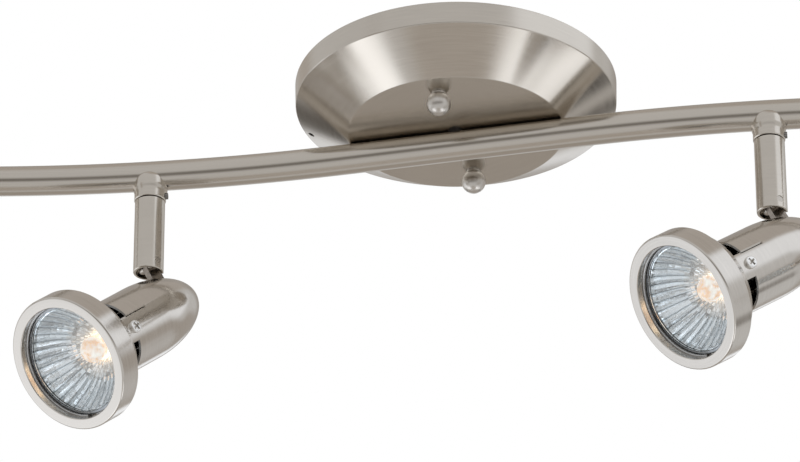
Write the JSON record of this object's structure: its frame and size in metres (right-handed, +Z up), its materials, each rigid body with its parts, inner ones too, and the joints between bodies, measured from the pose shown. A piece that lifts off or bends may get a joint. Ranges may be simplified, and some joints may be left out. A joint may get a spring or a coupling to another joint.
{
  "type": "track lighting fixture",
  "caption": "Ceiling track light: an S-curved tube bar under a round canopy, with swivel stems that carry bullet spotlights with flat front rings and reflector lamps.",
  "frame": {"origin": "centre of the canopy on the ceiling plane, which is also the centre of the strap's two box-screw slots", "axes": "+X along the bar's straight middle, +Y along the mounting strap, +Z up into the ceiling"},
  "size_m": [0.8808, 0.2605, 0.1632],
  "materials": {
    "satin_nickel": "satin brushed nickel plate",
    "bright_nickel": "fine brushed nickel plate",
    "zinc_steel": "zinc plate",
    "dark_steel": "blackened",
    "spring_steel": "bright spring wire",
    "connector_plastic": "moulded",
    "lead_plastic": "insulated lead",
    "ceramic": "unglazed ceramic",
    "silvered_glass": "coated reflector glass",
    "clear_glass": "clear front glass",
    "lamp_glow": "lit quartz capsule"
  },
  "bodies": {
    "fixture": {"canopy": "satin_nickel", "cone_screw": "dark_steel", "mounting_strap": "zinc_steel", "canopy_studs": "zinc_steel", "ball_nuts": "bright_nickel", "centre_nipple": "zinc_steel", "nipple_nut": "zinc_steel", "bar_tube": "satin_nickel", "end_caps": "bright_nickel", "stem_bosses": "satin_nickel", "swivel_spigots": "zinc_steel", "boss_set_screws": "dark_steel", "supply_leads": "lead_plastic", "wire_connectors": "connector_plastic", "bar_leads": "lead_plastic"},
    "swivel_1": {"stem_1": "satin_nickel", "pivot_screw_1": "zinc_steel"},
    "head_1": {"pivot_lug_1": "zinc_steel", "housing_1": "bright_nickel", "socket_1": "ceramic", "bezel_1": "bright_nickel", "bezel_screws_1": "zinc_steel", "retaining_ring_1": "spring_steel", "lamp_reflector_1": "silvered_glass", "lamp_lens_1": "clear_glass", "lamp_capsule_1": "lamp_glow"},
    "swivel_2": {"stem_2": "satin_nickel", "pivot_screw_2": "zinc_steel"},
    "head_2": {"pivot_lug_2": "zinc_steel", "housing_2": "bright_nickel", "socket_2": "ceramic", "bezel_2": "bright_nickel", "bezel_screws_2": "zinc_steel", "retaining_ring_2": "spring_steel", "lamp_reflector_2": "silvered_glass", "lamp_lens_2": "clear_glass", "lamp_capsule_2": "lamp_glow"},
    "swivel_3": {"stem_3": "satin_nickel", "pivot_screw_3": "zinc_steel"},
    "head_3": {"pivot_lug_3": "zinc_steel", "housing_3": "bright_nickel", "socket_3": "ceramic", "bezel_3": "bright_nickel", "bezel_screws_3": "zinc_steel", "retaining_ring_3": "spring_steel", "lamp_reflector_3": "silvered_glass", "lamp_lens_3": "clear_glass", "lamp_capsule_3": "lamp_glow"},
    "swivel_4": {"stem_4": "satin_nickel", "pivot_screw_4": "zinc_steel"},
    "head_4": {"pivot_lug_4": "zinc_steel", "housing_4": "bright_nickel", "socket_4": "ceramic", "bezel_4": "bright_nickel", "bezel_screws_4": "zinc_steel", "retaining_ring_4": "spring_steel", "lamp_reflector_4": "silvered_glass", "lamp_lens_4": "clear_glass", "lamp_capsule_4": "lamp_glow"}
  },
  "joints": [
    {"name": "pan_1", "type": "hinge", "parent": "fixture", "child": "swivel_1", "pos_m": [-0.4, -0.0908, -0.0438], "axis": [0, 0, 1], "range_deg": [-165, 165]},
    {"name": "tilt_1", "type": "hinge", "parent": "swivel_1", "child": "head_1", "pos_m": [-0.4, -0.0908, -0.076], "axis": [-0.809, 0.5878, 0], "range_deg": [-39, 41]},
    {"name": "pan_2", "type": "hinge", "parent": "fixture", "child": "swivel_2", "pos_m": [-0.13828, -0.00543, -0.0438], "axis": [0, 0, 1], "range_deg": [-165, 165]},
    {"name": "tilt_2", "type": "hinge", "parent": "swivel_2", "child": "head_2", "pos_m": [-0.13828, -0.00543, -0.076], "axis": [-0.8192, 0.5736, 0], "range_deg": [-39.5, 40.5]},
    {"name": "pan_3", "type": "hinge", "parent": "fixture", "child": "swivel_3", "pos_m": [0.13828, 0.00543, -0.0438], "axis": [0, 0, 1], "range_deg": [-165, 165]},
    {"name": "tilt_3", "type": "hinge", "parent": "swivel_3", "child": "head_3", "pos_m": [0.13828, 0.00543, -0.076], "axis": [-0.6756, 0.7373, 0], "range_deg": [-44, 36]},
    {"name": "pan_4", "type": "hinge", "parent": "fixture", "child": "swivel_4", "pos_m": [0.4, 0.0908, -0.0438], "axis": [0, 0, 1], "range_deg": [-165, 165]},
    {"name": "tilt_4", "type": "hinge", "parent": "swivel_4", "child": "head_4", "pos_m": [0.4, 0.0908, -0.076], "axis": [-0.6947, 0.7193, 0], "range_deg": [-43, 37]}
  ]
}
